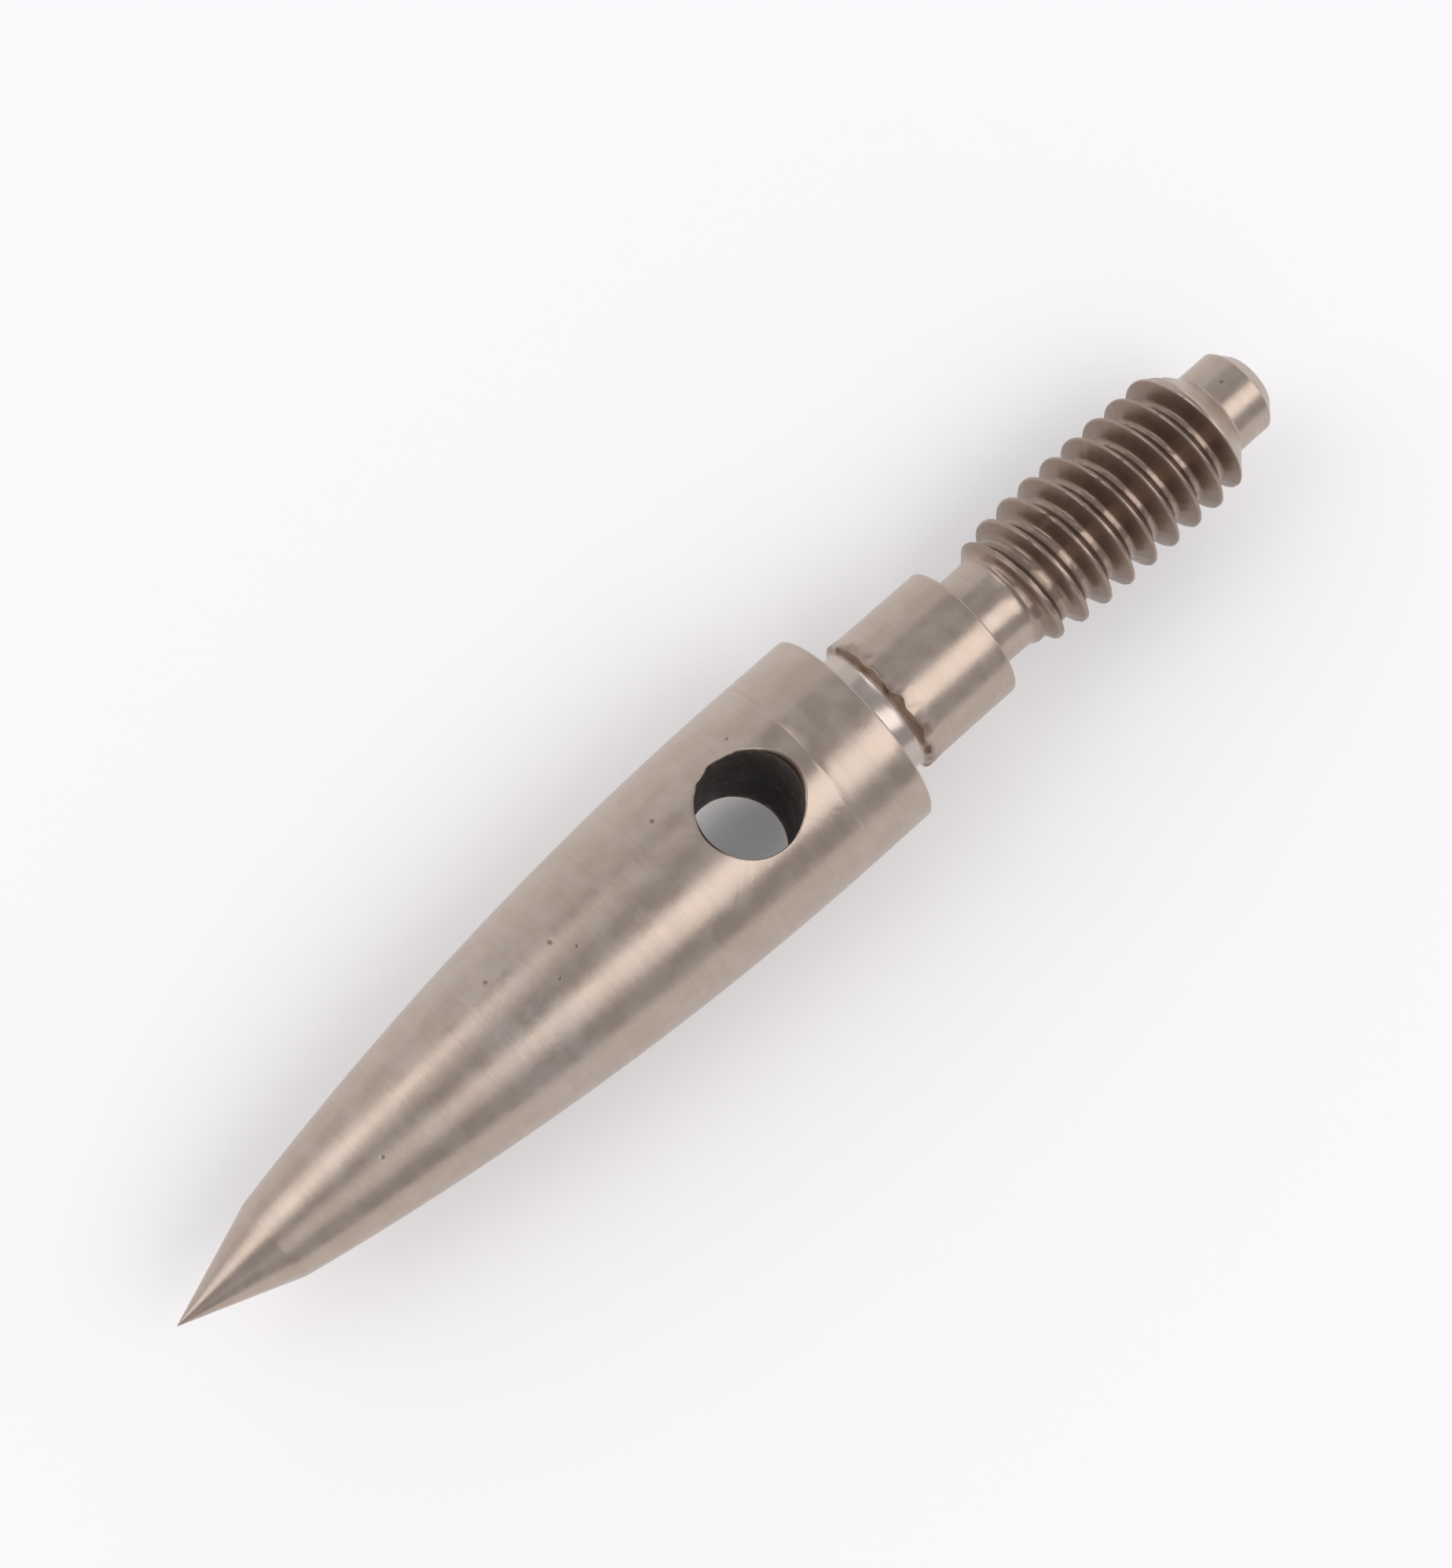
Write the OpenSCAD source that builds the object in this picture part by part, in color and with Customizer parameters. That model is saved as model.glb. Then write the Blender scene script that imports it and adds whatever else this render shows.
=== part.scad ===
// Screw-in centre point for a live centre, turned from one bar of steel.
// The bar runs along X: the tip points to -X and the threaded tail to +X.
// The origin is the middle of the shoulder face, and the cross hole runs along Z.

/* [Head] */
// Diameter of the head at the shoulder
head_d = 9.2; // [8:0.1:12]
// Length of the straight stretch in front of the shoulder
head_straight = 3.1; // [1:0.1:3.9]
// Width of the broken edge at the shoulder
shoulder_break = 0.1; // [0.05:0.01:0.2]

/* [Nose and cone] */
// Length of the curved nose, from the straight stretch to the ground cone
nose_len = 27.45; // [20:0.05:36]
// Diameter where the curved nose meets the ground cone
cone_d = 3.7; // [2.5:0.1:5]
// Length of the ground cone
cone_len = 4.87; // [3:0.01:8]

/* [Cross hole for a tommy bar] */
// Diameter of the hole
bar_hole_d = 4.3; // [3:0.05:5.5]
// Distance from the shoulder face to the middle of the hole
bar_hole_back = 6.1; // [4.5:0.1:10]
// Width and depth of the countersink at each mouth
bar_hole_sink = 0.25; // [0.1:0.01:0.4]

/* [Thread] */
// Outer diameter, a quarter inch less the usual allowance
thread_d = 6.2; // [5:0.01:7.5]
// Pitch, for 20 threads per inch
thread_pitch = 1.27; // [1:0.01:1.5]
// Length from the neck to the dog point
thread_len = 12; // [8:0.1:18]
// Slope of the run-in at the neck, as rise over run
run_in_slope = 0.6; // [0.4:0.05:1]
// Angle round the bar where the ridge starts, from +Y towards +Z
thread_start = 60; // [0:5:355]

/* [Undercut and register] */
// How far the register stands above the thread, on a side
register_step = 0.02; // [0.01:0.01:0.2]
// Length of the register with its lead
register_len = 4.97; // [3:0.01:8]
// Width of the broken edge at the back of the register
register_break = 0.1; // [0.05:0.01:0.2]
// Depth of the undercut below the register
undercut_depth = 0.29; // [0.2:0.01:0.4]
// Width of the undercut's floor
undercut_w = 1.13; // [0.6:0.01:2]

/* [Neck] */
// How far the neck lies below the root of the thread, on a side
neck_relief = 0.17; // [0.05:0.01:0.4]
// Length of the neck
neck_len = 2; // [1:0.05:4]

/* [Dog point] */
// How far the dog point lies below the root of the thread, on a side
dog_relief = 0.32; // [0.1:0.01:0.5]
// Length of the dog point with its chamfer
dog_len = 2.35; // [1.5:0.05:4]
// Width of the 45 degree chamfer at its end
dog_chamfer = 0.62; // [0.3:0.02:0.9]

/* [Hidden] */
$fn = 96;

// A 60 degree unified thread: depth is 17/24 of the sharp height, crest flat is 1/8 of the pitch
thread_r = thread_d / 2;
sharp_height = thread_pitch * sin(60);
thread_depth = sharp_height * 17 / 24;
root_r = thread_r - thread_depth;
crest_half = thread_pitch / 16;
foot_half = crest_half + thread_depth * tan(30);

// Radii
head_r = head_d / 2;
cone_r = cone_d / 2;
bar_hole_r = bar_hole_d / 2;
register_r = thread_r + register_step;
undercut_r = register_r - undercut_depth;
neck_r = root_r - neck_relief;
dog_r = root_r - dog_relief;

// Stations along X
nose_x = -head_straight;
cone_x = nose_x - nose_len;
tip_x = cone_x - cone_len;
lead_x = undercut_w + undercut_depth;
register_x = undercut_w + register_len;
thread_x0 = register_x + neck_len;
thread_x1 = thread_x0 + thread_len;
dog_x = thread_x1 + dog_len;

// The nose is an arc that is tangent to the straight stretch
nose_rise = head_r - cone_r;
nose_arc_r = (nose_len * nose_len + nose_rise * nose_rise) / (2 * nose_rise);

// Flat pieces in a full circle of that large radius
nose_facets = 720;

// How far a solid runs into the next one, so that they fuse
overlap = 0.5;
// How far the flat-sided ends of the thread stand above the round neck and dog point
end_step = 0.03;

// The ridge of the thread is swept in flat pieces, this many to a turn
sides = 32;
// The ridge's feet keep this far from the ends of the thread
foot_gap = 0.02;
ridge_x0 = thread_x0 + foot_half + foot_gap;
last = floor((thread_len - 2 * (foot_half + foot_gap)) / thread_pitch * sides);
last_turn = last - sides;

// The ridge's four edges: foot, crest, crest, foot, as distance from its middle and largest radius
edge_shift = [-foot_half, -crest_half, crest_half, foot_half];
edge_r = [root_r, thread_r, thread_r, root_r];

// Radius of the turned blank at x, before the thread is cut: run-in, full diameter, end chamfer
function blank_r(x) = min(
    thread_r,
    neck_r + end_step + run_in_slope * (x - thread_x0),
    dog_r + end_step + thread_x1 - x
);

// The point at x along the bar, at radius r and angle a
function on_bar(x, r, a) = [x, r * cos(a), r * sin(a)];

// Edge e of the ridge at step k, which the blank limits
function edge_x(k, e) = ridge_x0 + k * thread_pitch / sides + edge_shift[e];
function edge_point(k, e) = on_bar(edge_x(k, e), min(edge_r[e], blank_r(edge_x(k, e))), k * 360 / sides);

// Numbers of the points: four to a step, then the front ring and the back ring
function edge(k, e) = 4 * k + e;
function front(k) = 4 * (last + 1) + k % sides;
function back(k) = front(k) + sides;

// Two triangles that fill the patch a, b, c, d
function patch(a, b, c, d) = [[a, c, b], [a, d, c]];
// Triangles from the point a to each side of the open line of points
function fan(a, line) = [for (i = [0 : len(line) - 2]) [a, line[i + 1], line[i]]];

// Turns a shape drawn along Z so that it lies along X
module along_x() {
    rotate([0, 90, 0]) children();
}

// A disc or cone round the axis, from x0 to x1
module bar(x0, x1, r0, r1) {
    translate([x0, 0, 0]) along_x() cylinder(h = x1 - x0, r1 = r0, r2 = r1);
}

// Half the outline of the curved nose, with the radius drawn along X and the axis along Y
module nose_outline() {
    intersection() {
        translate([head_r - nose_arc_r, nose_x]) circle(r = nose_arc_r, $fn = nose_facets);
        translate([0, cone_x]) square([head_r, nose_len]);
    }
}

// Cone, curved nose and straight stretch
module head_blank() {
    bar(tip_x, cone_x, 0, cone_r);
    along_x() rotate_extrude() nose_outline();
    bar(nose_x, -shoulder_break, head_r, head_r);
    bar(-shoulder_break, 0, head_r, head_r - shoulder_break);
}

// The countersunk mouth of the cross hole that opens towards +Z
module hole_mouth() {
    translate([-bar_hole_back, 0, head_r - bar_hole_sink])
        cylinder(h = 2 * bar_hole_sink, r1 = bar_hole_r, r2 = bar_hole_r + 2 * bar_hole_sink);
}

// Through hole with both mouths
module bar_hole() {
    translate([-bar_hole_back, 0, 0]) cylinder(h = head_d + 2 * overlap, r = bar_hole_r, center = true);
    hole_mouth();
    mirror([0, 0, 1]) hole_mouth();
}

// Undercut floor, 45 degree lead, register and its broken back edge
module register() {
    bar(-overlap, undercut_w, undercut_r, undercut_r);
    bar(undercut_w, lead_x, undercut_r, register_r);
    bar(lead_x, register_x - register_break, register_r, register_r);
    bar(register_x - register_break, register_x, register_r, register_r - register_break);
}

// Neck, which runs on inside the thread
module neck() {
    bar(register_x - overlap, thread_x0 + overlap, neck_r, neck_r);
}

// Right-hand thread with its core, a closed shell between two flat ends
module thread() {
    ridge = [for (k = [0 : last], e = [0 : 3]) edge_point(k, e)];
    rings = [for (x = [thread_x0, thread_x1], k = [0 : sides - 1]) on_bar(x, blank_r(x), k * 360 / sides)];
    // Flank, crest and flank
    flanks = [for (k = [0 : last - 1], e = [0 : 2])
        each patch(edge(k, e), edge(k + 1, e), edge(k + 1, e + 1), edge(k, e + 1))];
    // Root between a turn and the next
    roots = [for (k = [0 : last_turn - 1])
        each patch(edge(k, 3), edge(k + 1, 3), edge(k + 1 + sides, 0), edge(k + sides, 0))];
    // Run-in from the front ring to the first turn, and past the ridge's blunt start
    run_in = [for (k = [0 : sides - 2]) each patch(front(k), front(k + 1), edge(k + 1, 0), edge(k, 0))];
    start = fan(edge(sides - 1, 0),
        concat([front(sides - 1), front(0)], [for (e = [0 : 3]) edge(0, e)], [edge(sides, 0)]));
    // End chamfer from the last turn to the back ring, and past the ridge's blunt end
    run_out = [for (k = [last_turn + 1 : last - 1])
        each patch(edge(k, 3), edge(k + 1, 3), back(k + 1), back(k))];
    end = fan(edge(last_turn + 1, 3),
        concat([back(last_turn + 1), back(last_turn)], [for (e = [3 : -1 : 0]) edge(last, e)],
            [edge(last_turn, 3)]));
    caps = [[for (k = [0 : sides - 1]) front(k)], [for (k = [sides - 1 : -1 : 0]) back(k)]];
    polyhedron(
        points = concat(ridge, rings),
        faces = concat(flanks, roots, run_in, start, run_out, end, caps)
    );
}

// Dog point, which runs on inside the thread
module dog_point() {
    bar(thread_x1 - overlap, dog_x - dog_chamfer, dog_r, dog_r);
    bar(dog_x - dog_chamfer, dog_x, dog_r, dog_r - dog_chamfer);
}

// The whole point: one bar of steel
module center_point() {
    color("#b3a59b") {
        difference() {
            head_blank();
            bar_hole();
        }
        register();
        neck();
        rotate([thread_start, 0, 0]) thread();
        dog_point();
    }
}

center_point();
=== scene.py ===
import math

import bpy
import numpy as np
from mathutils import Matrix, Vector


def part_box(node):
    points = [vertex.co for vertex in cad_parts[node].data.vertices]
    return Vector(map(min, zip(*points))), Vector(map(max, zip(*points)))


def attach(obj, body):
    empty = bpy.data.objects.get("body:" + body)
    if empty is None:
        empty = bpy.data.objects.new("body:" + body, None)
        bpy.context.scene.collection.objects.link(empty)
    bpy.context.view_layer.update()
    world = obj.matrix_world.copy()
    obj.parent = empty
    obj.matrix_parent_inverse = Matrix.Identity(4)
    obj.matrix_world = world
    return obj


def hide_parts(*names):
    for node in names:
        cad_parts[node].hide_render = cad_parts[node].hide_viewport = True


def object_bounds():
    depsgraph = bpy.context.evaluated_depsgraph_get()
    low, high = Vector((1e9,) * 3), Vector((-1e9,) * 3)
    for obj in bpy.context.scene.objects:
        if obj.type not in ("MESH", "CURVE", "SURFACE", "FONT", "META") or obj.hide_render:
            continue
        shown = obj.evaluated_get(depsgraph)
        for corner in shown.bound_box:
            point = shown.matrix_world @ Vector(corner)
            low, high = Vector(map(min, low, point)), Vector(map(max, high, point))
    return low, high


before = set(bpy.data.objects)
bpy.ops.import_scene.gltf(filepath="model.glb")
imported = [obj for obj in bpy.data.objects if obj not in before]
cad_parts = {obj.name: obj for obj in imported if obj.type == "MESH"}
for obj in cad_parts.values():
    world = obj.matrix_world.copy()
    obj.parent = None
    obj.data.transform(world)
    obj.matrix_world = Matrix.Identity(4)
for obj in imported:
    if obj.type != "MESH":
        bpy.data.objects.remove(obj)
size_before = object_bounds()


# ---------------------------------------------------------------- Camera
# One camera almost straight above the part, about 120 mm from it, with a lens a little longer than normal.
# It is turned so that the tip is at the lower left.

MM = 0.001

camera_data = bpy.data.cameras.new("camera")
camera_data.lens = 68.0
camera_data.clip_start = 5 * MM
camera = bpy.data.objects.new("camera", camera_data)
camera.location = (-27.63 * MM, -13.14 * MM, 115.96 * MM)
camera.rotation_euler = [math.radians(a) for a in (12.60, -3.16, -42.31)]
bpy.context.scene.collection.objects.link(camera)
bpy.context.scene.camera = camera


# ---------------------------------------------------------------- Floor
# A wide sheet of matt white acrylic that the head rests on.
# It is one flat square, with a faint glow from the light box below it.


def linear(code):
    """Linear red, green, blue and 1 from sRGB hex: c / 12.92, or ((c + 0.055) / 1.055)^2.4 above 0.04045."""
    parts = [int(code[i : i + 2], 16) / 255 for i in (1, 3, 5)]
    return (*[c / 12.92 if c <= 0.04045 else ((c + 0.055) / 1.055) ** 2.4 for c in parts], 1.0)


def add(tree, kind, inputs=(), out=0, **settings):
    """Adds a shader node with its settings and its inputs, by name or in order, and returns one output."""
    node = tree.nodes.new("ShaderNode" + kind)
    for name, value in settings.items():
        setattr(node, name, value)
    for name, value in inputs.items() if isinstance(inputs, dict) else enumerate(inputs):
        if isinstance(value, bpy.types.NodeSocket):
            tree.links.new(value, node.inputs[name])
        else:
            node.inputs[name].default_value = value
    return node.outputs[out] if len(node.outputs) else None


def new_material(name):
    """Material with an empty node tree."""
    made = bpy.data.materials.new(name)
    made.use_nodes = True
    made.node_tree.nodes.clear()
    return made


def give_surface(material, inputs):
    """Ends a material's node tree with a Principled surface that has these inputs."""
    surface = add(material.node_tree, "BsdfPrincipled", inputs)
    add(material.node_tree, "OutputMaterial", {"Surface": surface})


def new_object(name, points, faces, material):
    """Mesh object from points in metres and faces, with one material."""
    mesh = bpy.data.meshes.new(name)
    mesh.from_pydata(points, [], faces)
    mesh.materials.append(material)
    made = bpy.data.objects.new(name, mesh)
    bpy.context.scene.collection.objects.link(made)
    return made


# Matt acrylic: an even white with hardly any gloss, lit from below just enough to stay white
acrylic = new_material("matt_white_acrylic")
give_surface(
    acrylic,
    {
        "Base Color": linear("#F7F6F6"),
        "Roughness": 0.9,
        "Specular IOR Level": 0.1,
        "Emission Color": linear("#FFFFFF"),
        "Emission Strength": 0.135,
    },
)

FLOOR_HALF = 3.0  # metres from the middle to a side
FLOOR_Z = size_before[0][2]
floor_sides = ((-1, -1), (1, -1), (1, 1), (-1, 1))
floor_corners = [(side_x * FLOOR_HALF, side_y * FLOOR_HALF, FLOOR_Z) for side_x, side_y in floor_sides]
floor = new_object("floor", floor_corners, [(0, 1, 2, 3)], acrylic)


# ---------------------------------------------------------------- Lights
# Two soft boxes, one over the far side of the tail and one over the nose. A weak wide panel softens the
# edge of the nose's highlight, another fills the near side, and pale screens stand at the back and the side.
# Each is a rectangular area light that faces the part; the room around them is a dim even grey.


def panel(name, lean_x, lean_y, distance, width, height, radiance, tint="#FFFFFF"):
    """Area light with a surface radiance, which leans from straight up by lean_x and lean_y degrees.

    It leans by the length of (lean_x, lean_y), towards their direction, and lies distance metres from the
    origin, which it faces.
    """
    away = math.radians(math.hypot(lean_x, lean_y))
    turn = math.atan2(lean_y, lean_x)
    data = bpy.data.lights.new(name, "AREA")
    data.shape = "RECTANGLE"
    data.size, data.size_y = width, height
    data.energy = radiance * math.pi * width * height
    data.color = linear(tint)[:3]
    light = bpy.data.objects.new(name, data)
    light.location = (
        distance * math.sin(away) * math.cos(turn),
        distance * math.sin(away) * math.sin(turn),
        distance * math.cos(away),
    )
    light.rotation_euler = (0, away, turn)
    bpy.context.scene.collection.objects.link(light)


panel("softbox_tail", 17, -32, 0.6, 0.38, 0.50, 1.45, "#FFFCFA")
panel("softbox_nose", -34, 31, 0.6, 0.38, 0.42, 1.25, "#FFFCFA")
panel("halo_nose", -16, 24, 0.6, 0.36, 0.46, 0.26)
panel("fill_nose", -22, -33, 0.6, 0.36, 0.36, 0.40)
panel("back_screen", -4, 76, 0.7, 0.6, 1.3, 0.34)
panel("side_screen", 80, 0, 0.8, 0.5, 1.4, 0.85)

room = bpy.data.worlds.new("room")
room.use_nodes = True
room.node_tree.nodes["Background"].inputs["Color"].default_value = linear("#FAF9FF")
room.node_tree.nodes["Background"].inputs["Strength"].default_value = 0.52
bpy.context.scene.world = room
bpy.context.scene.view_settings.view_transform = "Standard"


# ---------------------------------------------------------------- Centre point
# The whole part: one bar of warm nickel-toned tool steel, turned, threaded and worn to a satin finish.
# It lies along X, tip towards -X, with the middle of its shoulder at the origin and the cross hole along Z.
# It is one closed shell: rings round the turned outline, patches round the hole, a helix for the thread.

# Sizes in millimetres: both ends and the head's radius are the CAD node's own
box_low, box_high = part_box("center_point")
TIP_X, DOG_X, HEAD_R = (round(value / MM, 3) for value in (box_low[0], box_high[0], box_high[2]))
CONE_X, CONE_R = -30.55, 1.85
NOSE_X = -3.1
HOLE_X, HOLE_R, SINK_Z = -6.1, 2.15, 4.35
UNDERCUT_X, UNDERCUT_R = 1.13, 2.83
LEAD_X, REGISTER_X, REGISTER_R = 1.42, 6.10, 3.12
NECK_X, NECK_R = 6.45, 2.14
PITCH, THREAD_R, THREAD_DEPTH, THREAD_END = 1.27, 3.11, 0.779, 20.1
DOG_R, DOG_CHAMFER = 2.001, 0.62

# Satin turned steel: the warm grey of nickel-toned metal, with broad soft highlights along the bar and fine
# tool lines round it. Oil stain and painted shade brown the thread's grooves, painted shade darkens the
# cross hole to a dull near-black, and a painted highlight lightens the polished floor of the undercut.
steel = new_material("satin_turned_steel")
tree = steel.node_tree
SMOOTH = {"interpolation_type": "SMOOTHSTEP"}
place = add(tree, "TexCoord", out="Object")
along, across_y, across_z = (add(tree, "SeparateXYZ", (place,), out=axis) for axis in "XYZ")
MARKS = ("stain_and_shade", "polish_and_sheen", "path")
stain_and_shade, polish_and_sheen, path = (add(tree, "Attribute", out="Fac", attribute_name=name) for name in MARKS)


def lines(per_mm, across_per_mm, detail=2.0):
    """Noise in lines round the bar: per_mm of them along the tool's path, changing slowly across the bar."""
    vector = add(
        tree,
        "CombineXYZ",
        (
            add(tree, "Math", (path, per_mm), operation="MULTIPLY"),
            add(tree, "Math", (across_y, across_per_mm / MM), operation="MULTIPLY"),
            add(tree, "Math", (across_z, across_per_mm / MM), operation="MULTIPLY"),
        ),
    )
    return add(tree, "TexNoise", {"Vector": vector, "Scale": 1.0, "Detail": detail, "Roughness": 0.5})


def blotches(per_mm, detail=3.0, rough=0.55, shift=0.0):
    """Noise in patches, per_mm of them to a millimetre, moved by shift so that no two patterns match."""
    vector = add(tree, "VectorMath", (place, (shift, shift, shift)), operation="ADD")
    inputs = {"Vector": vector, "Scale": per_mm / MM, "Detail": detail, "Roughness": rough}
    return add(tree, "TexNoise", inputs)


# A finishing cut usually leaves about 12 lines to a millimetre, too fine to show, so they are drawn coarser.
fine_lines = lines(6.0, 0.05)
feed_lines = lines(3.2, 0.03, 1.0)
coarse_lines = lines(1.6, 0.10)
grain = blotches(7.0, 2.0)
patches = blotches(0.9)
dents = blotches(1.8, 2.0, 0.5, 0.05)

# Dirt and painted shade follow the stain and shade marked on the mesh, a little unevenly. Where they are
# thickest, in the cross hole, they become a dull near-black painted shade.
uneven = add(tree, "MapRange", (blotches(2.2, 4.0, 0.6, 0.01), 0.25, 0.6, 0.85, 1.0), **SMOOTH)
dirt_and_shade = add(tree, "Math", (stain_and_shade, uneven), operation="MULTIPLY", use_clamp=True)
painted_hole_shade = add(tree, "MapRange", (dirt_and_shade, 0.76, 0.95), **SMOOTH)

# Pits left in the bar: x, y and z of the middle and the width, in millimetres
pits = [
    (-15.37, 1.16, 3.89, 0.16),
    (-14.73, 0.30, 4.10, 0.10),
    (-16.04, -0.18, 3.99, 0.10),
    (-18.20, 1.68, 3.38, 0.14),
    (-25.45, -0.65, 2.70, 0.12),
    (-9.32, 2.04, 3.96, 0.16),
    (-4.92, 2.58, 3.80, 0.12),
    (20.90, 0.48, 1.94, 0.13),
]
pitted = 0.0
for x, y, z, width in pits:
    away = add(tree, "VectorMath", (place, (x * MM, y * MM, z * MM)), out="Value", operation="DISTANCE")
    pit = add(tree, "MapRange", (away, 0.25 * width * MM, width * MM, 1.0, 0.0), **SMOOTH)
    pitted = add(tree, "Math", (pitted, pit), operation="MAXIMUM")

# Greyish rub mark round the nose, whole within 1 mm of its middle and gone at 2.6 mm
RUB_X = -18.2
from_rub = add(tree, "Math", (along, RUB_X * MM), operation="SUBTRACT")
from_rub = add(tree, "Math", (from_rub,), operation="ABSOLUTE")
near_rub = add(tree, "MapRange", (from_rub, 1.0 * MM, 2.6 * MM, 1.0, 0.0), **SMOOTH)
broken_up = add(tree, "MapRange", (blotches(2.0, 4.0, 0.65, 0.02), 0.42, 0.66), **SMOOTH)
rubbed = add(tree, "Math", (near_rub, broken_up), operation="MULTIPLY")

# Colour from the bare metal up: how much of each layer shows, and its colour
colour = linear("#B3A396")
for share, code in (
    (add(tree, "MapRange", (patches, 0.38, 0.66), **SMOOTH), "#B9AB9F"),
    (add(tree, "MapRange", (fine_lines, 0.4, 0.75, 0.0, 0.15), **SMOOTH), "#9E8F80"),
    # brown of stain, and of painted shade in the thread's grooves, on the lead and in the hole
    (add(tree, "MapRange", (dirt_and_shade, 0.0, 0.7), **SMOOTH), "#8E7C6F"),
    # near-black painted shade inside the cross hole
    (painted_hole_shade, "#4A403C"),
    # painted highlight: the polished floor of the undercut drawn lighter
    (add(tree, "MapRange", (polish_and_sheen, 0.5, 1.0), **SMOOTH), "#C6BCB4"),
    (add(tree, "Math", (pitted, 0.6), operation="MULTIPLY"), "#594C43"),
    (add(tree, "Math", (rubbed, 0.3), operation="MULTIPLY"), "#BAB7BA"),
):
    colour = add(tree, "Mix", {0: share, 6: colour, 7: linear(code)}, out=2, data_type="RGBA")

# Roughness of a fine turned finish, and what each mark adds to it
roughness = add(tree, "MapRange", (coarse_lines, 0.3, 0.7, 0.27, 0.32), **SMOOTH)
patchy = add(tree, "MapRange", (patches, 0.3, 0.7, -0.03, 0.04), **SMOOTH)
for mark, share in ((patchy, 1.0), (dirt_and_shade, 0.08), (painted_hole_shade, 0.3), (rubbed, 0.05), (polish_and_sheen, -0.08)):
    roughness = add(tree, "Math", (mark, share, roughness), operation="MULTIPLY_ADD")

# Relief of about a hundredth of a millimetre, nearly gone where the steel is polished, with deeper pits
height = 0.0
for pattern, share in ((fine_lines, 0.6), (grain, 0.6), (dents, 1.0), (feed_lines, 1.3)):
    height = add(tree, "Math", (pattern, share, height), operation="MULTIPLY_ADD")
unpolished = add(tree, "MapRange", (polish_and_sheen, 0.0, 1.0, 1.0, 0.15), **SMOOTH)
height = add(tree, "Math", (height, unpolished), operation="MULTIPLY")
height = add(tree, "Math", (pitted, -3.0, height), operation="MULTIPLY_ADD")

give_surface(
    steel,
    {
        "Base Color": colour,
        # Not metal where the cross hole's painted shade is, so that it stays dark
        "Metallic": add(tree, "Math", (1.0, painted_hole_shade), operation="SUBTRACT"),
        "Roughness": roughness,
        "Anisotropic": 0.45,
        "Anisotropic Rotation": 0.25,
        "Tangent": add(tree, "Tangent", direction_type="RADIAL", axis="X"),
        "Normal": add(tree, "Bump", {"Height": height, "Strength": 0.35, "Distance": 0.008 * MM}),
    },
)

# The shell grows block by block: points, faces, and for each point its stain and painted shade, its polish
# and painted sheen, and the tool's path
SIDES = 192  # points round the bar
angles = np.arange(SIDES) * 2 * np.pi / SIDES
blocks, marks, faces = [], [], []


def put(x, r, angle, stain_and_shade_here, polish_and_sheen_here, path_here):
    """Adds points (x, r cos angle, r sin angle), and returns their numbers in the same layout."""
    x, r, angle, *marks_here = np.broadcast_arrays(x, r, angle, stain_and_shade_here, polish_and_sheen_here, path_here)
    first = sum(map(len, blocks))
    blocks.append(np.stack([x, r * np.cos(angle), r * np.sin(angle)], -1).reshape(-1, 3))
    marks.append(np.stack(marks_here, -1).reshape(-1, 3))
    return first + np.arange(x.size).reshape(x.shape)


def quads(a, b, c, d):
    """Faces a, b, c, d from four arrays of point numbers."""
    faces.extend(np.stack([a, b, c, d], -1).reshape(-1, 4).tolist())


def strip(low, high, side=1):
    """Quads between two closed rings of point numbers. A side of -1 turns the faces over."""
    low, high = (low, high) if side > 0 else (high, low)
    quads(low, np.roll(low, -1), np.roll(high, -1), high)


def fan(corner, line):
    """Triangles from one point to each step of a line of points."""
    faces.extend(np.stack([np.full(len(line) - 1, corner), line[:-1], line[1:]], -1).tolist())


def rounded(outline, steps=4):
    """Outline of (x, r, corner radius) as points, with an arc in place of each corner.

    The arc starts and ends at radius / tan(half the corner's angle) from the corner, and its points divide
    its sweep evenly: middle + (start sin((1 - t) sweep) + end sin(t sweep)) / sin(sweep).
    """
    made = [outline[0][:2]]
    for before, (x, r, radius), after in zip(outline, outline[1:], outline[2:]):
        if radius == 0:
            made.append((x, r))
            continue
        corner = np.array([x, r])
        back, ahead = (np.array(p[:2]) - corner for p in (before, after))
        back, ahead = back / np.linalg.norm(back), ahead / np.linalg.norm(ahead)
        half = math.acos(np.clip(back @ ahead, -1, 1)) / 2
        reach = radius / math.tan(half)
        middle = corner + (back + ahead) / np.linalg.norm(back + ahead) * radius / math.sin(half)
        start, end = corner + back * reach - middle, corner + ahead * reach - middle
        sweep = math.pi - 2 * half
        for t in np.linspace(0, 1, steps + 1):
            turned = start * math.sin((1 - t) * sweep) + end * math.sin(t * sweep)
            made.append(middle + turned / math.sin(sweep))
    made.append(outline[-1][:2])
    return np.array(made, float)


def refined(outline, longest):
    """Outline with points put into each stretch that is longer than longest(x)."""
    made = [outline[:1]]
    for a, b in zip(outline, outline[1:]):
        pieces = max(1, math.ceil(np.linalg.norm(b - a) / longest((a[0] + b[0]) / 2)))
        made.append(a + (b - a) * (np.arange(1, pieces + 1) / pieces)[:, None])
    return np.concatenate(made)


def length_along(outline):
    """Length of the outline from its first point to each point."""
    return np.concatenate([[0], np.cumsum(np.linalg.norm(np.diff(outline, axis=0), axis=1))])


def waves(along, angle, seed, along_rate, turns):
    """Smooth noise of about unit size: a sum of waves cos(rate along + order angle + phase).

    Each order is a whole number, so the noise closes round the bar.
    """
    rng = np.random.default_rng(seed)
    count = 14
    total = 0
    for _ in range(count):
        rate = rng.uniform(-along_rate, along_rate)
        order = rng.integers(-turns, turns + 1)
        phase = rng.uniform(0, 6.28)
        total = total + np.cos(rate * along + order * angle + phase)
    return total * math.sqrt(2 / count)


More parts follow.
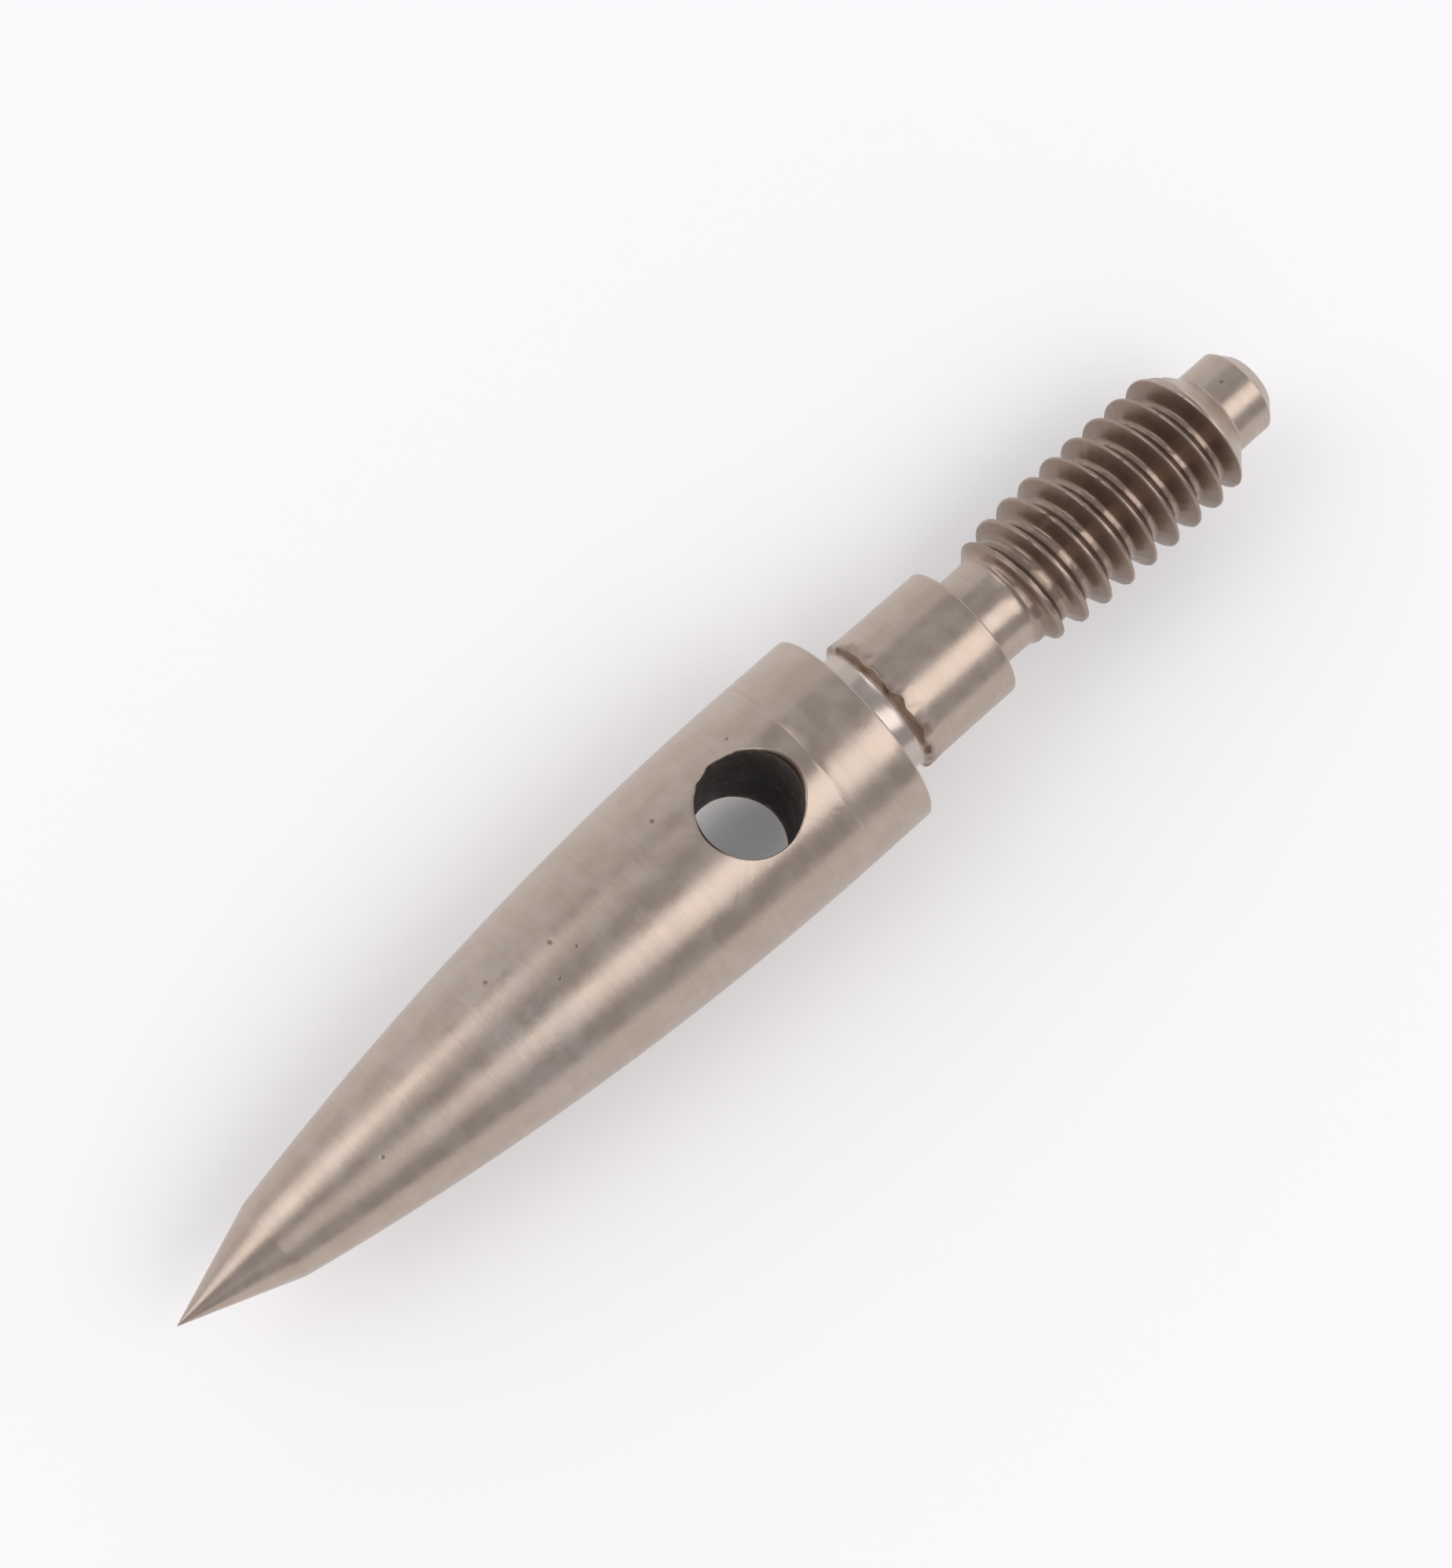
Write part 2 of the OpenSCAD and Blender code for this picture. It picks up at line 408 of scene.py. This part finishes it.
def nose_radius(x):
    """Head radius at x: HEAD_R - arc + sqrt(arc^2 - (x - NOSE_X)^2) on the nose, and HEAD_R behind it."""
    rise, run = HEAD_R - CONE_R, NOSE_X - CONE_X
    arc = (run * run + rise * rise) / (2 * rise)
    return HEAD_R - arc + np.sqrt(arc * arc - np.minimum(x - NOSE_X, 0) ** 2)


# Outline from the tip to the neck. The rings between WINDOW_X are left open round the cross hole.
WINDOW_X = (-9.2, -3.25)
AFTER_CONE = CONE_X + 0.1
tip = np.array([[TIP_X + 0.012, 0.02]])
cone = rounded([(TIP_X + 0.05, 0.035, 0), (CONE_X, CONE_R, 0.8), (AFTER_CONE, nose_radius(AFTER_CONE), 0)])
cone = refined(cone[:-1], lambda x: 0.35)
nose_x = np.concatenate(
    [np.linspace(AFTER_CONE, WINDOW_X[0], 44), np.linspace(*WINDOW_X, 38)[1:], [-3.16, -3.12, -3.1, -3.08]]
)
nose = np.stack([nose_x, nose_radius(nose_x)], -1)
rear = rounded(
    [
        (-3.04, HEAD_R, 0),
        (0, HEAD_R, 0.11),
        (0, UNDERCUT_R, 0.42),
        (UNDERCUT_X, UNDERCUT_R, 0.5),
        (LEAD_X, REGISTER_R, 0.06),
        (REGISTER_X, REGISTER_R, 0.1),
        (REGISTER_X, NECK_R, 0.08),
        (NECK_X, NECK_R, 0),
    ],
    5,
)
rear = refined(rear, lambda x: 0.07 if 1.0 < x < 2.3 else 0.3)
outline = np.concatenate([tip, cone, nose, rear])
run = length_along(outline)
ring_x, ring_r, turn = outline[:, :1], outline[:, 1:], angles[None, :]

# Hairline where the nose meets the straight stretch
HAIRLINE_X, HAIRLINE_DEPTH = -3.11, 0.012
ring_r = ring_r - HAIRLINE_DEPTH * (np.abs(ring_x - HAIRLINE_X) < 0.03)

# Ragged lip that the tool pushed over the register's front edge: lumps and a jagged border
LIP_START, LIP_LEN, LIP_HEIGHT = 1.2, 0.34, 0.03
edge_wave = waves(0, turn, 3, 0, 26)
lip_end = LEAD_X + LIP_LEN + 0.10 * waves(0, turn, 5, 0, 9) + 0.05 * waves(0, turn, 8, 0, 36)
lip = np.clip((lip_end - ring_x) / 0.06, 0, 1) * np.clip((ring_x - LIP_START) / 0.15, 0, 1)
ring_r = ring_r + lip * (LIP_HEIGHT + 0.02 * waves(ring_x, turn, 9, 8, 30))
ring_x = ring_x + 0.045 * edge_wave * np.exp(-(((ring_x - LEAD_X) / 0.16) ** 2)) * (ring_x > 1.0)

# The lead is browned, partly by stain and partly as painted shade of the chamfer; the lip and the neck are
# stained. The floor of the undercut is polished, and its lighter colour is a painted highlight.
LEAD_MIDDLE = 1.30
lead_stain_and_shade = np.clip(1 - np.abs(ring_x - LEAD_MIDDLE) / 0.2, 0, 1) * (ring_x > 1.1)
ring_stain_and_shade = np.maximum(0.45 * lead_stain_and_shade, (0.45 + 0.1 * waves(ring_x, turn, 11, 5, 20)) * lip)
ring_stain_and_shade = ring_stain_and_shade + 0.12 * np.clip((ring_x - 6.12) / 0.5, 0, 1)
undercut_floor = (ring_x > 0.04) & (ring_x < UNDERCUT_X + 0.02) & (ring_r < UNDERCUT_R + 0.12)
ring = put(ring_x, ring_r, turn, ring_stain_and_shade, 0.8 * undercut_floor, run[:, None])

# Faces of the rings, with a window left open round each mouth of the cross hole
WINDOW_HALF = 19  # points from the middle of a window to its side
first_row, last_row = (int(np.argmin(np.abs(outline[:, 0] - x))) for x in WINDOW_X)
first_column, last_column = SIDES // 4 - WINDOW_HALF, SIDES // 4 + WINDOW_HALF
open_face = np.zeros((len(outline) - 1, SIDES), bool)
open_face[first_row:last_row, first_column:last_column] = True
open_face[first_row:last_row, SIDES - last_column : SIDES - first_column] = True
after = np.roll(ring, -1, 1)
body = np.stack([ring[:-1], after[:-1], after[1:], ring[1:]], -1)
faces.extend(body[~open_face].tolist())

# Border of a window as a closed ring, and where its points lie as seen along the hole's axis
border_rows = np.concatenate(
    [
        np.full(last_column - first_column + 1, last_row),
        np.arange(last_row - 1, first_row - 1, -1),
        np.full(last_column - first_column, first_row),
        np.arange(first_row + 1, last_row),
    ]
)
border_columns = np.concatenate(
    [
        np.arange(last_column, first_column - 1, -1),
        np.full(last_row - first_row, first_column),
        np.arange(first_column + 1, last_column + 1),
        np.full(last_row - first_row - 1, last_column),
    ]
)
border_x = outline[border_rows, 0] - HOLE_X
border_y = outline[border_rows, 1] * np.cos(angles[border_columns])
border_reach = np.hypot(border_x, border_y)
aim = np.arctan2(border_y, border_x)
EDGE_WEAR = 0.05


def mouth(seed):
    """Reach of a mouth's edge along each aim, and height of the wall's top.

    The mouth is a 45 degree cone from SINK_Z up, so reach = HOLE_R + surface height - SINK_Z, found by
    repeating it. Where the cone doesn't reach, the edge is worn over about EDGE_WEAR, unevenly on one side.
    """
    one_side = np.clip(0.35 + np.cos(aim - 2.2), 0, 1)
    worn = EDGE_WEAR + 0.03 * np.clip(waves(0, aim, seed, 0, 22), -1.2, 1.8) * one_side
    reach = np.full_like(aim, HOLE_R + EDGE_WEAR)
    for _ in range(12):
        x, y = HOLE_X + reach * np.cos(aim), reach * np.sin(aim)
        top = np.sqrt(nose_radius(x) ** 2 - y**2)
        reach = HOLE_R + np.maximum(worn, top - SINK_Z)
    return reach, top - (reach - HOLE_R)


def hole_ring(reach, z, stain_and_shade_here, polish_and_sheen_here=0.0):
    """Adds a closed ring of points round the hole's axis, at this reach and height."""
    x, y = HOLE_X + reach * np.cos(aim), reach * np.sin(aim)
    return put(x, np.hypot(y, z), np.arctan2(z, y), stain_and_shade_here, polish_and_sheen_here, run[border_rows])


# From each window's border to the edge of the mouth, closer together towards it, and down the countersink
wall_tops = []
for side, seed in ((1, 21), (-1, 22)):
    reach, wall_top = mouth(seed)
    outer = ring[border_rows, border_columns if side > 0 else SIDES - border_columns]
    for share in (0.3, 0.55, 0.75, 0.88, 0.95, 0.985, 1.0):
        at_edge = share == 1.0
        here = border_reach + (reach - border_reach) * share
        x, y = HOLE_X + here * np.cos(aim), here * np.sin(aim)
        z = np.sqrt(nose_radius(x) ** 2 - y**2) - 0.008 * at_edge
        inner = hole_ring(here, side * z, 0.25 * at_edge, 0.5 if share > 0.98 else 0.0)
        strip(outer, inner, side)
        outer = inner
    # The countersink's foot is painted dark, as shade inside the hole
    sink_foot = hole_ring(np.full_like(aim, HOLE_R + 0.01), side * (wall_top + 0.01), 0.85)
    strip(outer, sink_foot, side)
    wall_tops.append((sink_foot, side * wall_top))

# Wall of the hole, slightly uneven, from one mouth to the other, painted near-black as shade inside the hole
WALL_RINGS = 15
(upper, z_high), (lower, z_low) = wall_tops
for share in np.linspace(0, 1, WALL_RINGS + 2)[1:-1]:
    z = z_high + (z_low - z_high) * share
    below = hole_ring(HOLE_R + 0.012 * waves(z * 3, aim, 31, 2.0, 9), z, 1.0)
    strip(upper, below)
    upper = below
strip(upper, lower)

# Pole of the tip
pole = put(TIP_X, 0.0, 0.0, 0.0, 0.3, 0.0).item()
fan(pole, np.append(ring[0], ring[0, 0])[::-1])

# Thread: one profile across a pitch, from root to root, swept along the helix
TURNS = 11
RUN_IN_X = 8.1
CREST_HALF = 0.045
LEDGE_X, LEDGE_R = 19.84, 2.34
BACK_FADE, FRONT_FADE = (18.55, 18.80), (19.82, 20.07)
HELIX_X = 6.534  # the root line at angle 0, in front of the first turn
from_crest = np.array([0.0, 0.035, 0.065, 0.095, 0.13, 0.21, 0.32, 0.43, 0.49, 0.525, 0.56, 0.60])
off = np.concatenate([[-PITCH / 2], -from_crest[:0:-1], from_crest])[None, :]
steps = np.arange(TURNS * SIDES + 1)[:, None]
helix_turn = steps * 2 * np.pi / SIDES
crest_x = HELIX_X + PITCH * steps / SIDES + PITCH / 2
thread_x = crest_x + off


def lowered(x):
    """How far the first turns stay below full size: 0.32 exp(-(x - 9.1) / 1.8), as at 8.2 before that."""
    return 0.32 * np.exp(-(np.maximum(x, 8.2) - 9.1) / 1.8)


def blank_radius(x, angle):
    """Radius of the turned blank: the least of the run-in, the full thread and the end.

    The run-in leaves the neck, which flares by 0.06 mm, at 45 degrees near RUN_IN_X. The end is a 45 degree
    chamfer down to the dog point, with an uneven ledge at its foot on one side.
    """
    neck = NECK_R + 0.06 * np.clip((x - 7.6) / 0.5, 0, 1) ** 2
    run_in = np.maximum(neck, 2.22 + x - RUN_IN_X)
    chamfer = np.maximum(DOG_R, DOG_R + 0.03 + THREAD_END - x)
    ledge = (LEDGE_R - 0.03 * waves(x, angle, 12, 1, 6)) * ((x < LEDGE_X) & (np.cos(angle - 0.1) > 0.75))
    return np.minimum(np.minimum(run_in, THREAD_R - lowered(x)), np.maximum(chamfer, ledge))


def soft_least(a, b, width):
    """The smaller of a and b with a rounded corner: -width log(exp(-a / width) + exp(-b / width))."""
    return -width * np.logaddexp(-a / width, -b / width)


def ridge_radius(distance, low):
    """Radius at a distance from the crest's middle: a rounded crest, 60 degree flanks and a rounded root."""
    flank = THREAD_R - low - math.sqrt(3) * (np.abs(distance) - CREST_HALF)
    crest_and_flank = soft_least(THREAD_R + 0.01, flank, 0.018)
    return -soft_least(-crest_and_flank, THREAD_DEPTH - THREAD_R, 0.03)


def faded(x, start, end):
    """1 before start, 0 after end, and 1 - 3 t^2 + 2 t^3 between them."""
    t = np.clip((x - start) / (end - start), 0, 1)
    return 1 - t * t * (3 - 2 * t)


# The ridge, with ragged first crests and a nick in one of them
ridge = ridge_radius(off, 0.75 * lowered(crest_x))
ragged = 0.006 + 0.02 * np.exp(-np.maximum(crest_x - 8.4, 0) / 2.5) * (np.abs(off) < 0.1)
ridge = ridge + ragged * waves(crest_x, helix_turn, 43, 6.0, 30)
NICK_X, NICK_ANGLE, NICK_DEPTH = 11.45, math.radians(71), 0.12
nick = np.exp(-(((crest_x - NICK_X) / 0.5) ** 2) - ((np.sin((helix_turn - NICK_ANGLE) / 2) / 0.035) ** 2))
ridge = ridge - NICK_DEPTH * nick * (np.abs(off) < 0.3)

# The groove is cut out of the blank, and fades at the thread's end, first behind the crest and then in front
blank = blank_radius(thread_x, helix_turn)
cut = np.where(off > 0, faded(crest_x, *BACK_FADE), faded(crest_x, *FRONT_FADE))
depth = np.maximum(blank - ridge, 0) * cut

# Oil stain and painted shade fill the groove but for its root, and stain lies thinner on the crests. The
# thin dark line round the run-in is painted shade.
in_root = np.clip((np.abs(off) - 0.53) / 0.05, 0, 1) * (depth > 0.05)
groove_oil_and_shade = 0.72 * np.clip(depth / 0.08, 0, 1) * (1 - 0.45 * in_root)
on_crests = 0.44 * (thread_x > 8.3) * (thread_x < 18.7)
run_in_shade = 0.3 * np.exp(-(((thread_x - RUN_IN_X) / 0.12) ** 2))
on_first_turn = 0.55 * np.exp(-(((thread_x - 8.5) / 0.45) ** 2))
thread_stain_and_shade = np.max(np.broadcast_arrays(groove_oil_and_shade, on_crests, run_in_shade, on_first_turn), axis=0)
crest_shine = 0.15 * (depth < 0.02) * (thread_x > 9) * (thread_x < 18.4)
thread_polish = np.maximum(crest_shine, 0.4 * in_root)
thread = put(thread_x, blank - depth, helix_turn, thread_stain_and_shade, thread_polish, run[-1] + thread_x - NECK_X)

# Faces across the profile, then from each turn to the next one, and from the neck to the first turn
quads(thread[:-1, :-1], thread[1:, :-1], thread[1:, 1:], thread[:-1, 1:])
quads(thread[: -SIDES - 1, -1], thread[1:-SIDES, -1], thread[SIDES + 1 :, 0], thread[SIDES:-1, 0])
neck = ring[-1]
quads(neck[:-1], neck[1:], thread[1:SIDES, 0], thread[: SIDES - 1, 0])
fan(thread[SIDES - 1, 0], np.concatenate([[neck[-1], neck[0]], thread[0], [thread[SIDES, 0]]]))

# Dog point with its chamfer and flat end, closed with a pole
DOG_START = 21.795
DOG_PATH = 15.4  # the tool's path from the neck to the dog point
dog_outline = rounded(
    [
        (DOG_START, DOG_R, 0),
        (DOG_X - DOG_CHAMFER + 0.01, DOG_R, 0.03),
        (DOG_X, DOG_R - DOG_CHAMFER, 0.08),
        (DOG_X, 0.0, 0),
    ]
)
flat_end = [[DOG_X, r] for r in (0.9, 0.4, 0.08)]
dog_outline = refined(np.concatenate([dog_outline[:-1], flat_end]), lambda x: 0.3)
dog_run = run[-1] + DOG_PATH + length_along(dog_outline)
dog = put(dog_outline[:, :1], dog_outline[:, 1:], turn, 0.0, 0.0, dog_run[:, None])
for before, after in zip(dog, dog[1:]):
    strip(before, after)
centre = put(DOG_X, 0.0, 0.0, 0.0, 0.0, dog_run[-1]).item()
fan(centre, np.append(dog[-1], dog[-1, 0]))

# Faces from the last turn to the dog point
last_turn = thread[-SIDES - 1 :, -1]
quads(last_turn[1:-1], last_turn[2:], np.roll(dog[0], -1)[1:], dog[0, 1:])
fan(last_turn[1], np.concatenate([[dog[0, 1], dog[0, 0]], thread[-1, ::-1], [last_turn[0]]]))

point = new_object("center_point_steel", (np.concatenate(blocks) * MM).tolist(), faces, steel)
for name, values in zip(MARKS, np.concatenate(marks).T):
    attribute = point.data.attributes.new(name, "FLOAT", "POINT")
    attribute.data.foreach_set("value", values.astype(np.float32))
point.data.shade_smooth()
point.data.set_sharp_from_angle(angle=math.radians(50))
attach(point, "root")
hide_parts("center_point")
